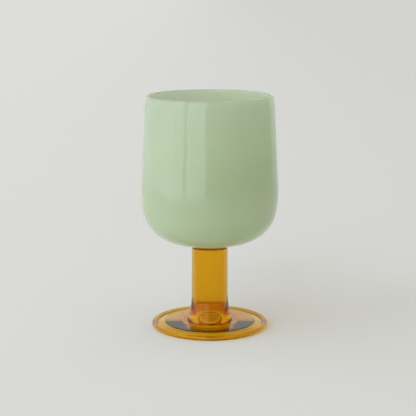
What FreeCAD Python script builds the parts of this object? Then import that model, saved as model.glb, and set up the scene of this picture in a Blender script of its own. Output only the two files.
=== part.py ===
import FreeCAD, Part
import Sketcher
import math
import os

# A footed drinking glass in three pieces of hot-worked glass: an opal bowl, an amber stem made
# of wide thin-walled tube, and a thin amber foot with a rolled bead round its edge. The tube is
# closed where it meets the bowl and opens out through the middle of the foot. The pieces are
# welded face to face. All three are bodies of revolution about Z. The origin is the centre of
# the plane that the glass stands on, +Z is up, and every size is in millimetres or degrees.

doc = FreeCAD.newDocument("WineGlass")

SIZES = [
    # bowl: one wall of even thickness, closed in slightly at the rim
    ("rim_height", 142.0),
    ("rim_radius", 38.4),
    ("lip_curve", 100.0),
    ("wall_taper", 2.6),
    ("widest_radius", 41.6),
    ("widest_height", 83.8),
    ("shoulder_curve", 70.0),
    ("corner_curve", 23.5),
    ("bowl_base_height", 51.6),
    ("bowl_base_curve", 160.0),
    ("bowl_wall", 2.0),
    ("rim_round", 0.9),
    # stem: a tube closed at the top, opening out to meet the foot
    ("stem_top_radius", 10.95),
    ("stem_low_radius", 11.15),
    ("flare_height", 20.0),
    ("flare_radius", 13.9),
    ("bore_radius", 9.0),
    ("bore_top", 49.7),
    ("bore_round", 1.8),
    # foot: a flat deck, then a web that slopes down to a bead that the glass stands on.
    # Underneath, a ridge round the mouth of the bore and a groove under the deck's edge.
    ("foot_radius", 35.6),
    ("foot_height", 3.45),
    ("deck_radius", 27.6),
    ("ridge_radius", 17.0),
    ("ridge_height", 0.7),
    ("groove_height", 2.6),
    ("web_height", 1.22),
    ("valley_height", 2.15),
    ("valley_round", 1.0),
    ("bead_radius", 1.6),
    ("bead_height", 1.5),
]

START, END, CENTRE = 1, 2, 3
HORIZONTAL_AXIS = -1
VERTICAL_AXIS = -2

sheet = doc.addObject("Spreadsheet::Sheet", "Sizes")
for row, (name, value) in enumerate(SIZES, start=1):
    sheet.set("A%d" % row, name)
    sheet.set("B%d" % row, str(value))
    sheet.setAlias("B%d" % row, name)
doc.recompute()
size = {name: sheet.get(name) for name, _ in SIZES}


def new_body(name):
    body = doc.addObject("PartDesign::Body", name)
    body.Label = name
    body.Placement = FreeCAD.Placement()
    return body


def profile_sketch(body, name):
    """An empty sketch on the body's XZ plane: its x is the radius and its y the height."""
    plane = next(f for f in body.Origin.OriginFeatures if f.Role == "XZ_Plane")
    sketch = body.newObject("Sketcher::SketchObject", name)
    sketch.AttachmentSupport = [(plane, "")]
    sketch.MapMode = "FlatFace"
    return sketch


def add_line(sketch, start, end):
    ends = [FreeCAD.Vector(x, y, 0) for x, y in (start, end)]
    return sketch.addGeometry(Part.LineSegment(*ends))


def add_arc(sketch, centre, radius, first, last):
    """An arc drawn anticlockwise between two angles in degrees."""
    circle = Part.Circle(FreeCAD.Vector(*centre, 0), FreeCAD.Vector(0, 0, 1), radius)
    return sketch.addGeometry(Part.ArcOfCircle(circle, math.radians(first), math.radians(last)))


def tie(sketch, kind, *where):
    """Coincident or Tangent between two ends, or Horizontal or Vertical on one line."""
    sketch.addConstraint(Sketcher.Constraint(kind, *where))


def on_axis(sketch, edge, end):
    sketch.addConstraint(Sketcher.Constraint("PointOnObject", edge, end, VERTICAL_AXIS))


def drive(sketch, formula, value, kind, *where):
    """Add a dimension of this value and bind it to a formula in the names of the sheet."""
    index = sketch.addConstraint(Sketcher.Constraint(kind, *where, value))
    words = [("Sizes." + word if word in size else word) for word in formula.split()]
    unit = " * 1 deg" if kind == "Angle" else ""
    sketch.setExpression("Constraints[%d]" % index, "(" + " ".join(words) + ")" + unit)


def drive_one(sketch, name, kind, *where):
    """Add a dimension that is one value of the sheet."""
    drive(sketch, name, size[name], kind, *where)


def revolve(body, sketch, name, kind="Revolution"):
    """Turn the sketch a whole turn about its vertical axis."""
    feature = body.newObject("PartDesign::" + kind, name)
    feature.Profile = sketch
    feature.ReferenceAxis = (sketch, ["V_Axis"])
    feature.Angle = 360.0
    doc.recompute()
    return feature


def edges_at(shape, height):
    """The names of the round edges that lie at a height."""
    return ["Edge%d" % number for number, edge in enumerate(shape.Edges, start=1)
            if edge.BoundBox.ZLength < 1e-6 and abs(edge.BoundBox.ZMin - height) < 1e-6]


def bowl_sketch(body, name, depth, inset):
    """Three tangent arcs, a tapered wall and a lip, all set in from the outside by a depth.

    Where the arcs start and end is only a first guess, and the tangents settle it."""
    outline = profile_sketch(body, name)
    rim_radius, rim_height = size["rim_radius"] - depth, size["rim_height"]
    widest, belly = size["widest_radius"], size["widest_height"]
    low = size["bowl_base_height"] + depth
    base_curve, shoulder_curve = size["bowl_base_curve"], size["shoulder_curve"]
    corner_curve, lip_curve = size["corner_curve"], size["lip_curve"]

    base = add_arc(outline, (0, low + base_curve - depth), base_curve - depth, -90, -84)
    corner_centre = (widest - corner_curve, belly - 8)
    corner = add_arc(outline, corner_centre, corner_curve - depth, -84, -8)
    shoulder_centre = (widest - shoulder_curve, belly)
    shoulder = add_arc(outline, shoulder_centre, shoulder_curve - depth, -8, 3)
    wall = add_line(outline, (widest - depth, belly + 4), (rim_radius + 1, rim_height - 9))
    lip = add_arc(outline, (rim_radius - lip_curve, rim_height - 14), lip_curve - depth, 3, 8)
    mouth = add_line(outline, (rim_radius, rim_height), (0, rim_height))
    middle = add_line(outline, (0, rim_height), (0, low))

    tie(outline, "Tangent", base, END, corner, START)
    tie(outline, "Tangent", corner, END, shoulder, START)
    tie(outline, "Tangent", shoulder, END, wall, START)
    tie(outline, "Tangent", wall, END, lip, START)
    tie(outline, "Coincident", lip, END, mouth, START)
    tie(outline, "Coincident", mouth, END, middle, START)
    tie(outline, "Coincident", middle, END, base, START)
    tie(outline, "Horizontal", mouth)
    tie(outline, "Vertical", middle)
    on_axis(outline, middle, END)
    on_axis(outline, base, CENTRE)

    drive(outline, "bowl_base_height + " + inset, low, "DistanceY", base, START)
    drive(outline, "bowl_base_curve - " + inset, base_curve - depth, "Radius", base)
    drive(outline, "corner_curve - " + inset, corner_curve - depth, "Radius", corner)
    drive(outline, "shoulder_curve - " + inset, shoulder_curve - depth, "Radius", shoulder)
    drive(outline, "widest_height", belly, "DistanceY", shoulder, CENTRE)
    drive(outline, "widest_radius - shoulder_curve", shoulder_centre[0],
          "DistanceX", shoulder, CENTRE)
    drive(outline, "90 + wall_taper", math.radians(90 + size["wall_taper"]), "Angle", wall)
    drive(outline, "lip_curve - " + inset, lip_curve - depth, "Radius", lip)
    drive(outline, "rim_radius - " + inset, rim_radius, "DistanceX", lip, END)
    drive(outline, "rim_height", rim_height, "DistanceY", lip, END)
    return outline


def make_bowl():
    """The inside is turned out of the outside, and both edges of the rim are rounded over."""
    body = new_body("bowl")
    revolve(body, bowl_sketch(body, "BowlOutside", 0.0, "0"), "BowlSolid")
    inside = bowl_sketch(body, "BowlInside", size["bowl_wall"], "bowl_wall")
    shell = revolve(body, inside, "BowlHollow", "Groove")
    rim = body.newObject("PartDesign::Fillet", "RimRound")
    rim.Base = (shell, edges_at(shell.Shape, size["rim_height"]))
    rim.setExpression("Radius", "Sizes.rim_round")
    return body


def mouth_curve():
    """The radius and the centre of the round that opens the bore out to the foot's ridge."""
    radius = size["ridge_radius"] - size["bore_radius"]
    return radius, (size["ridge_radius"], size["ridge_height"] + radius)


def make_stem():
    """A tapered tube, flared at the foot, whose top follows the curve of the bowl's base."""
    body = new_body("stem")
    outline = profile_sketch(body, "StemOutline")
    top, low = size["bowl_base_height"], size["foot_height"]
    curve = size["bowl_base_curve"]
    narrow, wide = size["stem_top_radius"], size["stem_low_radius"]
    spread, start = size["flare_radius"], size["flare_height"]
    inside, lid_height, corner = size["bore_radius"], size["bore_top"], size["bore_round"]
    flare_curve = 3 * (start - low)
    mouth_radius, mouth_centre = mouth_curve()

    floor = add_line(outline, (inside + 2, low), (spread, low))
    flare = add_arc(outline, (wide + flare_curve, start), flare_curve, 180, 200)
    wall = add_line(outline, (wide, start), (narrow, top))
    crown = add_arc(outline, (0, top + curve), curve, -90, -86)
    middle = add_line(outline, (0, top), (0, lid_height))
    lid = add_line(outline, (0, lid_height), (inside - corner, lid_height))
    turn_down = add_arc(outline, (inside - corner, lid_height - corner), corner, 0, 90)
    bore = add_line(outline, (inside, lid_height - corner), (inside, mouth_centre[1]))
    mouth = add_arc(outline, mouth_centre, mouth_radius, 180, 221)

    tie(outline, "Coincident", floor, END, flare, END)
    tie(outline, "Tangent", flare, START, wall, START)
    tie(outline, "Coincident", wall, END, crown, END)
    tie(outline, "Coincident", crown, START, middle, START)
    tie(outline, "Coincident", middle, END, lid, START)
    tie(outline, "Tangent", lid, END, turn_down, END)
    tie(outline, "Tangent", turn_down, START, bore, START)
    tie(outline, "Tangent", bore, END, mouth, START)
    tie(outline, "Coincident", mouth, END, floor, START)
    tie(outline, "Horizontal", floor)
    tie(outline, "Horizontal", lid)
    tie(outline, "Vertical", middle)
    tie(outline, "Vertical", bore)
    on_axis(outline, middle, END)
    on_axis(outline, crown, CENTRE)

    drive_one(outline, "foot_height", "DistanceY", floor, START)
    drive_one(outline, "flare_radius", "DistanceX", floor, END)
    drive_one(outline, "flare_height", "DistanceY", flare, START)
    drive_one(outline, "stem_low_radius", "DistanceX", flare, START)
    drive_one(outline, "stem_top_radius", "DistanceX", wall, END)
    drive_one(outline, "bowl_base_curve", "Radius", crown)
    drive_one(outline, "bowl_base_height", "DistanceY", crown, START)
    drive_one(outline, "bore_top", "DistanceY", lid, START)
    drive_one(outline, "bore_round", "Radius", turn_down)
    drive_one(outline, "bore_radius", "DistanceX", bore, START)
    drive_one(outline, "ridge_radius", "DistanceX", mouth, CENTRE)
    drive(outline, "ridge_height + ridge_radius - bore_radius", mouth_centre[1],
          "DistanceY", mouth, CENTRE)
    revolve(body, outline, "StemTube")
    return body


def make_foot():
    """A thin plate round the mouth of the bore, carried on the bead round its edge."""
    body = new_body("foot")
    outline = profile_sketch(body, "FootOutline")
    deck_height, deck_radius = size["foot_height"], size["deck_radius"]
    groove, web_low = size["groove_height"], size["web_height"]
    bead_radius, bead_height = size["bead_radius"], size["bead_height"]
    centre = (size["foot_radius"] - bead_radius, bead_height)
    valley_round = size["valley_round"]
    valley_centre = (centre[0] - bead_radius - valley_round / 2,
                     size["valley_height"] + valley_round)
    mouth_radius, mouth_centre = mouth_curve()

    mouth = add_arc(outline, mouth_centre, mouth_radius, 221, 270)
    cone = add_line(outline, (mouth_centre[0], size["ridge_height"]), (deck_radius, groove))
    web = add_line(outline, (deck_radius, groove), (centre[0] - bead_radius, web_low))
    heel = add_arc(outline, centre, bead_radius, 190, 250)
    land = add_line(outline, (centre[0] - bead_radius / 3, 0), (centre[0] + bead_radius / 3, 0))
    bead = add_arc(outline, centre, bead_radius, -70, 144)
    valley = add_arc(outline, valley_centre, valley_round, 253, 324)
    slope = add_line(outline, (valley_centre[0], size["valley_height"]),
                     (deck_radius, deck_height))
    deck = add_line(outline, (deck_radius, deck_height), (size["bore_radius"] + 2, deck_height))

    tie(outline, "Coincident", mouth, END, cone, START)
    tie(outline, "Coincident", cone, END, web, START)
    tie(outline, "Coincident", web, END, heel, START)
    tie(outline, "Coincident", heel, END, land, START)
    tie(outline, "Coincident", heel, CENTRE, bead, CENTRE)
    tie(outline, "Coincident", land, END, bead, START)
    tie(outline, "Tangent", bead, END, valley, END)
    tie(outline, "Tangent", valley, START, slope, START)
    tie(outline, "Coincident", slope, END, deck, START)
    tie(outline, "Coincident", deck, END, mouth, START)
    tie(outline, "Horizontal", land)
    tie(outline, "Horizontal", deck)
    tie(outline, "PointOnObject", land, START, HORIZONTAL_AXIS)

    drive_one(outline, "ridge_radius", "DistanceX", mouth, CENTRE)
    drive_one(outline, "ridge_radius", "DistanceX", mouth, END)
    drive_one(outline, "ridge_height", "DistanceY", mouth, END)
    drive(outline, "ridge_radius - bore_radius", mouth_radius, "Radius", mouth)
    drive_one(outline, "deck_radius", "DistanceX", cone, END)
    drive_one(outline, "groove_height", "DistanceY", cone, END)
    drive_one(outline, "web_height", "DistanceY", web, END)
    drive_one(outline, "bead_radius", "Radius", heel)
    drive_one(outline, "bead_radius", "Radius", bead)
    drive(outline, "foot_radius - bead_radius", centre[0], "DistanceX", bead, CENTRE)
    drive_one(outline, "bead_height", "DistanceY", bead, CENTRE)
    drive_one(outline, "valley_round", "Radius", valley)
    drive(outline, "valley_height + valley_round", valley_centre[1], "DistanceY", valley, CENTRE)
    drive_one(outline, "deck_radius", "DistanceX", slope, END)
    drive_one(outline, "foot_height", "DistanceY", slope, END)
    revolve(body, outline, "FootPlate")
    return body


pieces = [make_bowl(), make_stem(), make_foot()]
doc.recompute()

for thing in doc.Objects:
    if "Invalid" in thing.State or "Error" in thing.State:
        raise RuntimeError("%s is %s" % (thing.Name, thing.State))
for piece in pieces:
    if piece.Shape.isNull() or not piece.Shape.isValid():
        raise RuntimeError(piece.Label + " has no valid shape")

os.makedirs("parts", exist_ok=True)
for piece in pieces:
    piece.Shape.exportStep("parts/%s.step" % piece.Label)
    print("%-6s %8.1f cubic mm, %d solid" % (piece.Label, piece.Shape.Volume, len(piece.Shape.Solids)))
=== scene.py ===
import math

import bpy
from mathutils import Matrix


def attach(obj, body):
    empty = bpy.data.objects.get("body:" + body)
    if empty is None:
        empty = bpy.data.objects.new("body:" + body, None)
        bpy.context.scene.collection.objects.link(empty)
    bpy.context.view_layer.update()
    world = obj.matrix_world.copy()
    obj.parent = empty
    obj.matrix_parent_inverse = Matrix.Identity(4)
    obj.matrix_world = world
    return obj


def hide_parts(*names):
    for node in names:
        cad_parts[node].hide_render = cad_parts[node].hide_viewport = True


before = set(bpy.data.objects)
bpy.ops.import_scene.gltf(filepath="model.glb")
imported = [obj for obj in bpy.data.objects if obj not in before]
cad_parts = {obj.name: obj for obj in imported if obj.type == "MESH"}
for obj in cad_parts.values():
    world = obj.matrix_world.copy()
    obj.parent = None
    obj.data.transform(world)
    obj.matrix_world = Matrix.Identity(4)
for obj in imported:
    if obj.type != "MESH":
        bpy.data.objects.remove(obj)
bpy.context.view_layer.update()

MM = 0.001
TURN_STEPS = 240
RIM_STEPS = 16
ON_AXIS = 1e-6

# Material numbers: faces that meet air, and faces fused to the next piece.
CLEAR, FUSED = 0, 1

# The shape of the bowl, stem and foot, in millimetres and degrees, as in the CAD model.
RIM_HEIGHT, RIM_RADIUS, RIM_ROUND = 142.0, 38.4, 0.9
LIP_CURVE, WALL_TAPER = 100.0, 2.6
WIDEST_RADIUS, WIDEST_HEIGHT = 41.6, 83.8
SHOULDER_CURVE, CORNER_CURVE = 70.0, 23.5
BASE_HEIGHT, BASE_CURVE = 51.6, 160.0
BOWL_WALL = 2.0
STEM_TOP_RADIUS, STEM_LOW_RADIUS = 10.95, 11.15
FLARE_HEIGHT, FLARE_RADIUS = 20.0, 13.9
BORE_RADIUS, BORE_TOP, BORE_ROUND = 9.0, 49.7, 1.8
FOOT_RADIUS, FOOT_HEIGHT, DECK_RADIUS = 35.6, 3.45, 27.6
RIDGE_RADIUS, RIDGE_HEIGHT = 17.0, 0.7
GROOVE_HEIGHT, WEB_HEIGHT = 2.6, 1.22
VALLEY_HEIGHT, VALLEY_ROUND = 2.15, 1.0
BEAD_RADIUS, BEAD_HEIGHT = 1.6, 1.5
# The stem stops this far short of the bowl and the foot, so that no two faces coincide.
WELD_GAP = 0.02


def arc(centre, radius, first, last, steps):
    """Points along an arc from one angle to another, in degrees anticlockwise from +r."""
    points = []
    for step in range(steps + 1):
        angle = math.radians(first + (last - first) * step / steps)
        points.append((centre[0] + radius * math.cos(angle),
                       centre[1] + radius * math.sin(angle)))
    return points


def line(start, end, steps):
    """Points along a straight run."""
    return [(start[0] + (end[0] - start[0]) * step / steps,
             start[1] + (end[1] - start[1]) * step / steps) for step in range(steps + 1)]


def joined(*runs):
    """Runs that meet end to end as one smooth run, without the doubled points."""
    points = list(runs[0])
    for run in runs[1:]:
        points.extend(run[1:])
    return points


def turned(name, loop, materials):
    """A closed mesh turned about Z, from a loop of (material number, points) runs that goes
    round the section anticlockwise. The edges between its runs stay sharp."""
    vertices, faces, numbers, sharp = [], [], [], []

    def ring(point):
        """The vertices that a point makes as it turns: one on the axis, or a whole circle."""
        radius, height = point[0] * MM, point[1] * MM
        first = len(vertices)
        if point[0] < ON_AXIS:
            vertices.append((0.0, 0.0, height))
            return [first] * TURN_STEPS
        for step in range(TURN_STEPS):
            angle = 2 * math.pi * step / TURN_STEPS
            vertices.append((radius * math.cos(angle), radius * math.sin(angle), height))
        return list(range(first, first + TURN_STEPS))

    beginning = loop[0][1][0]
    opening = last = ring(beginning)
    for number, points in loop:
        for point in points[1:]:
            here = opening if point == beginning else ring(point)
            for step in range(TURN_STEPS):
                following = (step + 1) % TURN_STEPS
                corners = (last[step], last[following], here[following], here[step])
                face = list(dict.fromkeys(corners))
                if len(face) > 2:
                    faces.append(face)
                    numbers.append(number)
            last = here
        sharp.append(set(last))
    mesh = bpy.data.meshes.new(name)
    mesh.from_pydata(vertices, [], faces)
    mesh.update()
    for material in materials:
        mesh.materials.append(material)
    mesh.polygons.foreach_set("material_index", numbers)
    mesh.polygons.foreach_set("use_smooth", [True] * len(faces))
    for edge in mesh.edges:
        edge.use_edge_sharp = any(edge.vertices[0] in ends and edge.vertices[1] in ends
                                  for ends in sharp if len(ends) > 1)
    mesh.update()
    piece = bpy.data.objects.new(name, mesh)
    bpy.context.scene.collection.objects.link(piece)
    return piece


def crossing(first, first_radius, second, second_radius):
    """The outer of the two points at these distances from two centres."""
    across = math.dist(first, second)
    along = (first_radius ** 2 - second_radius ** 2 + across ** 2) / (2 * across)
    aside = math.sqrt(first_radius ** 2 - along ** 2)
    step = ((second[0] - first[0]) / across, (second[1] - first[1]) / across)
    middle = (first[0] + along * step[0], first[1] + along * step[1])
    return max((middle[0] + side * step[1] * aside, middle[1] - side * step[0] * aside)
               for side in (1, -1))


def bearing(centre, point):
    """The direction from a centre to a point, in degrees anticlockwise from +r."""
    return math.degrees(math.atan2(point[1] - centre[1], point[0] - centre[0]))


def bowl_wall(inset):
    """The bowl's section from the axis to the rim, set in from the outside by a depth."""
    base_centre = (0.0, BASE_HEIGHT + BASE_CURVE)
    shoulder_centre = (WIDEST_RADIUS - SHOULDER_CURVE, WIDEST_HEIGHT)
    corner_centre = crossing(shoulder_centre, SHOULDER_CURVE - CORNER_CURVE,
                             base_centre, BASE_CURVE - CORNER_CURVE)
    base_end = bearing(base_centre, corner_centre)
    corner_end = bearing(shoulder_centre, corner_centre)
    taper = math.radians(WALL_TAPER)
    rise = ((RIM_RADIUS - shoulder_centre[0]) * math.cos(taper)
            + (RIM_HEIGHT - shoulder_centre[1]) * math.sin(taper) - SHOULDER_CURVE)
    lip_end = WALL_TAPER + math.degrees(math.acos(1 + rise / LIP_CURVE))
    lip_centre = (RIM_RADIUS - LIP_CURVE * math.cos(math.radians(lip_end)),
                  RIM_HEIGHT - LIP_CURVE * math.sin(math.radians(lip_end)))
    base = arc(base_centre, BASE_CURVE - inset, -90, base_end, steps=12)
    corner = arc(corner_centre, CORNER_CURVE - inset, base_end, corner_end, steps=36)
    shoulder = arc(shoulder_centre, SHOULDER_CURVE - inset, corner_end, WALL_TAPER, steps=16)
    lip = arc(lip_centre, LIP_CURVE - inset, WALL_TAPER, lip_end, steps=10)
    wall = line(shoulder[-1], lip[0], steps=12)
    return joined(base, corner, shoulder, wall, lip)


def trimmed(points, height):
    """The points below a height, with a last point on it."""
    kept = [point for point in points if point[1] < height]
    before, after = kept[-1], points[len(kept)]
    share = (height - before[1]) / (after[1] - before[1])
    return kept + [(before[0] + share * (after[0] - before[0]), height)]


def bowl_outline():
    """Outside, rounded rim, then inside back to the axis."""
    start = RIM_HEIGHT - RIM_ROUND
    outer = trimmed(bowl_wall(0.0), start)
    inner = trimmed(bowl_wall(BOWL_WALL), start)
    middle = ((outer[-1][0] + inner[-1][0]) / 2, start)
    half = outer[-1][0] - middle[0]
    rim = [(middle[0] + half * math.cos(angle), start + RIM_ROUND * math.sin(angle))
           for angle in [math.pi * step / RIM_STEPS for step in range(RIM_STEPS + 1)]]
    rim[0], rim[-1] = outer[-1], inner[-1]
    return [(CLEAR, joined(outer, rim, inner[::-1]))]


MOUTH_ROUND = RIDGE_RADIUS - BORE_RADIUS
MOUTH_CENTRE = (RIDGE_RADIUS, RIDGE_HEIGHT + MOUTH_ROUND)


def mouth_angle(height):
    """Where a height lies on the round that opens the bore out to the foot's ridge."""
    return 180 + math.degrees(math.asin((MOUTH_CENTRE[1] - height) / MOUTH_ROUND))


def stem_outline():
    """A tube, closed at the top, that is welded at its lower end and at its crown."""
    low = FOOT_HEIGHT + WELD_GAP
    spread = FLARE_RADIUS - STEM_LOW_RADIUS
    flare_curve = ((FLARE_HEIGHT - low) ** 2 + spread ** 2) / (2 * spread)
    flare_centre = (STEM_LOW_RADIUS + flare_curve, FLARE_HEIGHT)
    flare_low = bearing(flare_centre, (FLARE_RADIUS, low)) % 360
    crown_centre = (0.0, BASE_HEIGHT - WELD_GAP + BASE_CURVE)
    crown_end = -math.degrees(math.acos(STEM_TOP_RADIUS / BASE_CURVE))
    corner = (BORE_RADIUS - BORE_ROUND, BORE_TOP - BORE_ROUND)
    flare = arc(flare_centre, flare_curve, flare_low, 180, steps=24)
    crown = arc(crown_centre, BASE_CURVE, crown_end, -90, steps=6)
    side = joined(flare, line(flare[-1], crown[0], steps=24))
    bore = joined(line((0.0, BORE_TOP), (corner[0], BORE_TOP), steps=4),
                  arc(corner, BORE_ROUND, 90, 0, steps=12),
                  line((BORE_RADIUS, corner[1]), (BORE_RADIUS, MOUTH_CENTRE[1]), steps=20),
                  arc(MOUTH_CENTRE, MOUTH_ROUND, 180, mouth_angle(low), steps=12))
    end = line(bore[-1], flare[0], steps=3)
    return [(FUSED, end), (CLEAR, side), (FUSED, crown), (CLEAR, [crown[-1], bore[0]]),
            (CLEAR, bore)]


def foot_outline():
    """Under the plate from the bore's mouth to the bead, then back over the top to the weld."""
    bead_centre = (FOOT_RADIUS - BEAD_RADIUS, BEAD_HEIGHT)
    web_angle = 180 - math.degrees(math.asin((WEB_HEIGHT - BEAD_HEIGHT) / BEAD_RADIUS))
    land_half = math.degrees(math.acos(BEAD_HEIGHT / BEAD_RADIUS))
    reach = BEAD_RADIUS + VALLEY_ROUND
    rise = VALLEY_HEIGHT + VALLEY_ROUND - BEAD_HEIGHT
    valley_centre = (bead_centre[0] - math.sqrt(reach ** 2 - rise ** 2), BEAD_HEIGHT + rise)
    bead_end = bearing(bead_centre, valley_centre)
    edge = (DECK_RADIUS, FOOT_HEIGHT)
    tangent = bearing(edge, valley_centre) - math.degrees(
        math.asin(VALLEY_ROUND / math.dist(edge, valley_centre)))
    mouth = arc(MOUTH_CENTRE, MOUTH_ROUND, mouth_angle(FOOT_HEIGHT), 270, steps=16)
    cone = line(mouth[-1], (DECK_RADIUS, GROOVE_HEIGHT), steps=10)
    heel = arc(bead_centre, BEAD_RADIUS, web_angle, 270 - land_half, steps=16)
    web = line(cone[-1], heel[0], steps=6)
    bead = arc(bead_centre, BEAD_RADIUS, land_half - 90, bead_end, steps=50)
    valley = arc(valley_centre, VALLEY_ROUND, bead_end - 180, tangent - 90, steps=10)
    heel[-1], bead[0] = (heel[-1][0], 0.0), (bead[0][0], 0.0)
    land = line(heel[-1], bead[0], steps=2)
    valley[0] = bead[-1]
    slope = line(valley[-1], edge, steps=8)
    deck = line(edge, (FLARE_RADIUS, FOOT_HEIGHT), steps=8)
    weld = line(deck[-1], mouth[0], steps=3)
    return [(CLEAR, mouth), (CLEAR, cone), (CLEAR, web), (CLEAR, heel), (CLEAR, land),
            (CLEAR, joined(bead, valley, slope)), (CLEAR, deck), (FUSED, weld)]


def emptied(tree):
    """A node tree without the nodes that it came with."""
    for node in list(tree.nodes):
        tree.nodes.remove(node)
    return tree


def new_material(name):
    """A material without nodes, and its node tree."""
    material = bpy.data.materials.new(name)
    material.use_nodes = True
    return material, emptied(material.node_tree)


def between(tree, value, low, high):
    """0 where a value is under low, 1 over high, and smooth between."""
    node = tree.nodes.new("ShaderNodeMapRange")
    node.interpolation_type = "SMOOTHSTEP"
    tree.links.new(value, node.inputs["Value"])
    node.inputs["From Min"].default_value = low
    node.inputs["From Max"].default_value = high
    return node.outputs["Result"]


def blend(tree, share, first, second):
    """A mix of two colours, each a tuple or the output of a node."""
    node = tree.nodes.new("ShaderNodeMix")
    node.data_type = "RGBA"
    tree.links.new(share, node.inputs["Factor"])
    # The colour sockets of this node share their names with others, so they go by number.
    for socket, value in ((node.inputs[6], first), (node.inputs[7], second)):
        if isinstance(value, tuple):
            socket.default_value = (*value, 1.0)
        else:
            tree.links.new(value, socket)
    return node.outputs[2]


def reckon(tree, operation, *values):
    """A Math node on values that are each a number or the output of a node."""
    node = tree.nodes.new("ShaderNodeMath")
    node.operation = operation
    for socket, value in zip(node.inputs, values):
        if isinstance(value, (int, float)):
            socket.default_value = value
        else:
            tree.links.new(value, socket)
    return node.outputs["Value"]


def band(tree, value, low, high, soft):
    """1 where a value is between low and high, fading to 0 over soft on both sides of each."""
    rise = between(tree, value, low - soft, low + soft)
    fall = between(tree, value, high - soft, high + soft)
    return reckon(tree, "MULTIPLY", rise, reckon(tree, "SUBTRACT", 1.0, fall))


# --- the two kinds of glass ---
AMBER_FACE = (0.950, 0.760, 0.280)
AMBER_DEPTH = (0.9620, 0.8680, 0.0357)
AMBER_DENSITY = 700.0
AMBER_SHEEN = (1.0, 0.68, 0.22)
AMBER_IOR = 1.474


def amber_glass():
    """Clear amber glass, coloured at its faces and again by the depth that light crosses."""
    material, tree = new_material("amber_glass")
    output = tree.nodes.new("ShaderNodeOutputMaterial")
    glass = tree.nodes.new("ShaderNodeBsdfPrincipled")
    glass.inputs["Base Color"].default_value = (*AMBER_FACE, 1.0)
    glass.inputs["Roughness"].default_value = 0.0
    glass.inputs["IOR"].default_value = AMBER_IOR
    glass.inputs["Specular Tint"].default_value = (*AMBER_SHEEN, 1.0)
    glass.inputs["Transmission Weight"].default_value = 1.0
    depth = tree.nodes.new("ShaderNodeVolumeAbsorption")
    depth.inputs["Color"].default_value = (*AMBER_DEPTH, 1.0)
    depth.inputs["Density"].default_value = AMBER_DENSITY
    # Light that falls through onto the floor or the bowl goes straight, and takes the colour.
    # A glass face tints light by the root of its colour, so the clear one does the same.
    clear = tree.nodes.new("ShaderNodeBsdfTransparent")
    clear.inputs["Color"].default_value = (*[math.sqrt(share) for share in AMBER_FACE], 1.0)
    path = tree.nodes.new("ShaderNodeLightPath")
    falling = reckon(tree, "MAXIMUM", path.outputs["Is Diffuse Ray"],
                     path.outputs["Is Shadow Ray"])
    choice = tree.nodes.new("ShaderNodeMixShader")
    tree.links.new(falling, choice.inputs["Fac"])
    tree.links.new(glass.outputs["BSDF"], choice.inputs[1])
    tree.links.new(clear.outputs["BSDF"], choice.inputs[2])
    tree.links.new(choice.outputs["Shader"], output.inputs["Surface"])
    tree.links.new(depth.outputs["Volume"], output.inputs["Volume"])
    return material


def weld_face():
    """Where two pieces are fused there is no surface for light to meet."""
    material, tree = new_material("weld_face")
    output = tree.nodes.new("ShaderNodeOutputMaterial")
    clear = tree.nodes.new("ShaderNodeBsdfTransparent")
    tree.links.new(clear.outputs["BSDF"], output.inputs["Surface"])
    return material


OPAL_BODY = (0.445, 0.580, 0.325)
OPAL_CLOUD = (0.465, 0.595, 0.350)
# Painted shade: greyer toward the rim and darker on the lip, toning down the light that the
# thin rim gathers from all sides.
OPAL_RIM_PAINTED_SHADE = (0.425, 0.535, 0.335)
OPAL_LIP_PAINTED_SHADE = (0.320, 0.405, 0.257)
# Painted light: the inside faces are paler, standing in for window light that comes through the
# thin wall.
OPAL_INSIDE_PAINTED_LIGHT = (0.480, 0.572, 0.362)
OPAL_IOR = 1.46
OPAL_GLOSS_ROUGHNESS = 0.02
# How far light spreads inside the glass, in metres.
OPAL_REACH = 0.012
CLOUDS_PER_METRE = 28.0
CLOUD_DETAIL = 3.0
# Where one colour gives way to the next: by cloud, by height in metres for the painted shade at
# the rim and lip, and by facing_out for the painted light inside.
CLOUD_RANGE = (0.35, 0.65)
RIM_PAINTED_SHADE_RANGE = (0.110, 0.142)
LIP_PAINTED_SHADE_RANGE = (0.1405, 0.1417)
INSIDE_PAINTED_LIGHT_RANGE = (-0.020, 0.0)


def facing_out(tree, place, split):
    """How far a face looks away from the axis, times its distance from it. The inside of the
    bowl is below 0."""
    spoke = tree.nodes.new("ShaderNodeCombineXYZ")
    tree.links.new(split.outputs["X"], spoke.inputs["X"])
    tree.links.new(split.outputs["Y"], spoke.inputs["Y"])
    product = tree.nodes.new("ShaderNodeVectorMath")
    product.operation = "DOT_PRODUCT"
    tree.links.new(place.outputs["Normal"], product.inputs[0])
    tree.links.new(spoke.outputs["Vector"], product.inputs[1])
    return product.outputs["Value"]


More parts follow.
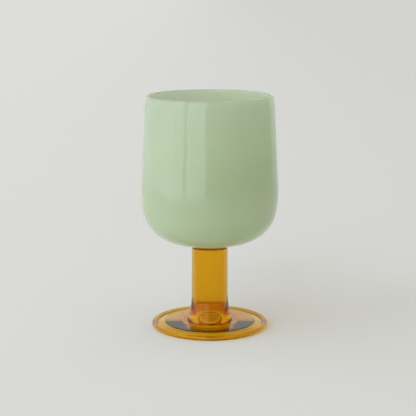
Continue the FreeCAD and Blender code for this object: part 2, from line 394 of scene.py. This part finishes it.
def opal_glass():
    """Milky green glass with a clear gloss. It is faintly cloudy all over, with painted shade
    that makes it greyer toward the rim and darker on the lip, and painted light that makes it
    paler inside."""
    material, tree = new_material("opal_green_glass")
    output = tree.nodes.new("ShaderNodeOutputMaterial")
    glass = tree.nodes.new("ShaderNodeBsdfPrincipled")
    place = tree.nodes.new("ShaderNodeTexCoord")
    cloud = tree.nodes.new("ShaderNodeTexNoise")
    cloud.inputs["Scale"].default_value = CLOUDS_PER_METRE
    cloud.inputs["Detail"].default_value = CLOUD_DETAIL
    tree.links.new(place.outputs["Object"], cloud.inputs["Vector"])
    split = tree.nodes.new("ShaderNodeSeparateXYZ")
    tree.links.new(place.outputs["Object"], split.inputs["Vector"])
    cloudiness = between(tree, cloud.outputs["Fac"], *CLOUD_RANGE)
    # Painted shade by height: greyer toward the rim, darker on the lip.
    rim = between(tree, split.outputs["Z"], *RIM_PAINTED_SHADE_RANGE)
    edge = between(tree, split.outputs["Z"], *LIP_PAINTED_SHADE_RANGE)
    # Painted light on the faces inside the bowl.
    outside = between(tree, facing_out(tree, place, split), *INSIDE_PAINTED_LIGHT_RANGE)
    body = blend(tree, cloudiness, OPAL_BODY, OPAL_CLOUD)
    wall = blend(tree, outside, OPAL_INSIDE_PAINTED_LIGHT, blend(tree, rim, body, OPAL_RIM_PAINTED_SHADE))
    tree.links.new(blend(tree, edge, wall, OPAL_LIP_PAINTED_SHADE), glass.inputs["Base Color"])
    glass.inputs["Roughness"].default_value = OPAL_GLOSS_ROUGHNESS
    glass.inputs["IOR"].default_value = OPAL_IOR
    glass.inputs["Subsurface Weight"].default_value = 1.0
    glass.inputs["Subsurface Radius"].default_value = (1.0, 1.0, 1.0)
    glass.inputs["Subsurface Scale"].default_value = OPAL_REACH
    tree.links.new(glass.outputs["BSDF"], output.inputs["Surface"])
    return material


# --- the three pieces ---
amber, weld, opal = amber_glass(), weld_face(), opal_glass()
bowl = turned("bowl_glass", bowl_outline(), [opal])
stem = turned("stem_glass", stem_outline(), [amber, weld])
foot = turned("foot_glass", foot_outline(), [amber, weld])
for piece, node, slot in ((bowl, "bowl", "opal_green_glass"), (stem, "stem", "amber_glass"),
                          (foot, "foot", "amber_glass")):
    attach(piece, "root")
    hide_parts(node)

# --- the floor, in metres, just under the foot so that no two faces coincide ---
FLOOR_REACH = 12.0
FLOOR_DROP = 0.00003
# Painted light: the card is lighter on the window side to the left and darker to the right.
FLOOR_PAINTED_LIT = (0.896, 0.889, 0.852)
FLOOR_PAINTED_DIM = (0.808, 0.803, 0.764)
FLOOR_PAINTED_LIGHT_FADE = (-0.45, 0.45)


def floor_material():
    """Matt card, painted a little brighter toward the window as painted light."""
    material, tree = new_material("floor")
    output = tree.nodes.new("ShaderNodeOutputMaterial")
    paint = tree.nodes.new("ShaderNodeBsdfPrincipled")
    place = tree.nodes.new("ShaderNodeTexCoord")
    split = tree.nodes.new("ShaderNodeSeparateXYZ")
    tree.links.new(place.outputs["Object"], split.inputs["Vector"])
    # Painted light falling off away from the window.
    side = between(tree, split.outputs["X"], *FLOOR_PAINTED_LIGHT_FADE)
    tree.links.new(blend(tree, side, FLOOR_PAINTED_LIT, FLOOR_PAINTED_DIM), paint.inputs["Base Color"])
    paint.inputs["Roughness"].default_value = 1.0
    paint.inputs["Specular IOR Level"].default_value = 0.0
    tree.links.new(paint.outputs["BSDF"], output.inputs["Surface"])
    return material


floor_mesh = bpy.data.meshes.new("floor")
corners = [(x * FLOOR_REACH, y * FLOOR_REACH, -FLOOR_DROP)
           for x, y in ((-1, -1), (1, -1), (1, 1), (-1, 1))]
floor_mesh.from_pydata(corners, [], [(0, 1, 2, 3)])
floor_mesh.materials.append(floor_material())
floor = bpy.data.objects.new("floor", floor_mesh)
bpy.context.scene.collection.objects.link(floor)
# In reflections the world stands in for the floor, so that the window's foot shows there.
floor.visible_glossy = False

# --- the light round the scene ---
# A direction is a turn about Z, 0 toward the camera and negative to the left, and a height
# above the horizon, both in degrees. A range with three numbers has its softness last.
WINDOW = (2.05, 2.13, 2.45)
WINDOW_TURN = (-143.0, -7.5, 0.8)
WINDOW_HEIGHT = (-7.0, 52.0, 1.0)
WINDOW_BAR_TURN = (-45.0, -39.0, 0.6)
WINDOW_FAR = (0.90, 0.95, 1.10)
WINDOW_FAR_FADE = (-115.0, -60.0)
BACK_WALL = (0.80, 0.80, 0.79)
UPPER_WALL = (0.40, 0.39, 0.36)
UPPER_WALL_HEIGHT = (30.0, 60.0, 6.0)
ROOM = (0.42, 0.40, 0.32)
ROOM_TURN = (-9.0, 128.0, 3.0)
CEILING = (0.80, 0.79, 0.73)
CEILING_FADE = (45.0, 75.0)
STRIP = (0.95, 0.93, 0.88)
STRIP_TURN = (128.0, 136.0, 1.5)
STRIP_HEIGHT = (-4.0, 50.0, 3.0)
FLOOR_GLOW = (0.76, 0.76, 0.76)
FLOOR_SHADE = (0.30, 0.29, 0.25)
FLOOR_SHADE_FADE = (-75.0, -30.0)
FLOOR_EDGE_FADE = (-8.0, -6.0)
DEGREES = 180 / math.pi


def studio_world():
    """A wide window with a bar on the left, a pale wall behind, darker high up, a dimmer room
    on the right with a bright strip beyond it, a ceiling, and what the floor would show."""
    world = bpy.data.worlds.new("studio")
    world.use_nodes = True
    tree = emptied(world.node_tree)
    where = tree.nodes.new("ShaderNodeTexCoord")
    split = tree.nodes.new("ShaderNodeSeparateXYZ")
    tree.links.new(where.outputs["Generated"], split.inputs["Vector"])
    toward = reckon(tree, "MULTIPLY", split.outputs["Y"], -1.0)
    turn = reckon(tree, "ARCTAN2", split.outputs["X"], toward)
    turn = reckon(tree, "MULTIPLY", turn, DEGREES)
    height = reckon(tree, "ARCSINE", split.outputs["Z"])
    height = reckon(tree, "MULTIPLY", height, DEGREES)

    wall = blend(tree, band(tree, height, *UPPER_WALL_HEIGHT), BACK_WALL, UPPER_WALL)
    colour = blend(tree, band(tree, turn, *ROOM_TURN), wall, ROOM)
    ground = blend(tree, between(tree, height, *FLOOR_SHADE_FADE), FLOOR_SHADE, FLOOR_GLOW)
    colour = blend(tree, between(tree, height, *FLOOR_EDGE_FADE), ground, colour)
    colour = blend(tree, between(tree, height, *CEILING_FADE), colour, CEILING)
    strip_share = reckon(tree, "MULTIPLY", band(tree, turn, *STRIP_TURN),
                         band(tree, height, *STRIP_HEIGHT))
    colour = blend(tree, strip_share, colour, STRIP)
    panes = blend(tree, between(tree, turn, *WINDOW_FAR_FADE), WINDOW_FAR, WINDOW)
    window_share = reckon(tree, "MULTIPLY", band(tree, turn, *WINDOW_TURN),
                          band(tree, height, *WINDOW_HEIGHT))
    beside_bar = reckon(tree, "SUBTRACT", 1.0, band(tree, turn, *WINDOW_BAR_TURN))
    window_share = reckon(tree, "MULTIPLY", window_share, beside_bar)
    colour = blend(tree, window_share, colour, panes)

    light = tree.nodes.new("ShaderNodeBackground")
    tree.links.new(colour, light.inputs["Color"])
    light.inputs["Strength"].default_value = 1.0
    output = tree.nodes.new("ShaderNodeOutputWorld")
    tree.links.new(light.outputs["Background"], output.inputs["Surface"])
    return world


bpy.context.scene.world = studio_world()

# --- camera ---
CAMERA_PLACE = (-0.00112, -0.74545, 0.21616)
CAMERA_DOWN = 10.841
CAMERA_LENS = 108.17
CAMERA_SENSOR = 36.0
CAMERA_NEAR = 0.01

camera_data = bpy.data.cameras.new("camera")
camera_data.sensor_width = CAMERA_SENSOR
camera_data.lens = CAMERA_LENS
camera_data.clip_start = CAMERA_NEAR
camera = bpy.data.objects.new("camera", camera_data)
camera.location = CAMERA_PLACE
camera.rotation_euler = (math.radians(90 - CAMERA_DOWN), 0.0, 0.0)
bpy.context.scene.collection.objects.link(camera)
bpy.context.scene.camera = camera
bpy.context.scene.view_settings.view_transform = "Standard"

# Light passes many faces of clear glass before it reaches the floor or the sky.
LIGHT_BOUNCES = 12
paths = bpy.context.scene.cycles
paths.max_bounces = LIGHT_BOUNCES
paths.transmission_bounces = LIGHT_BOUNCES
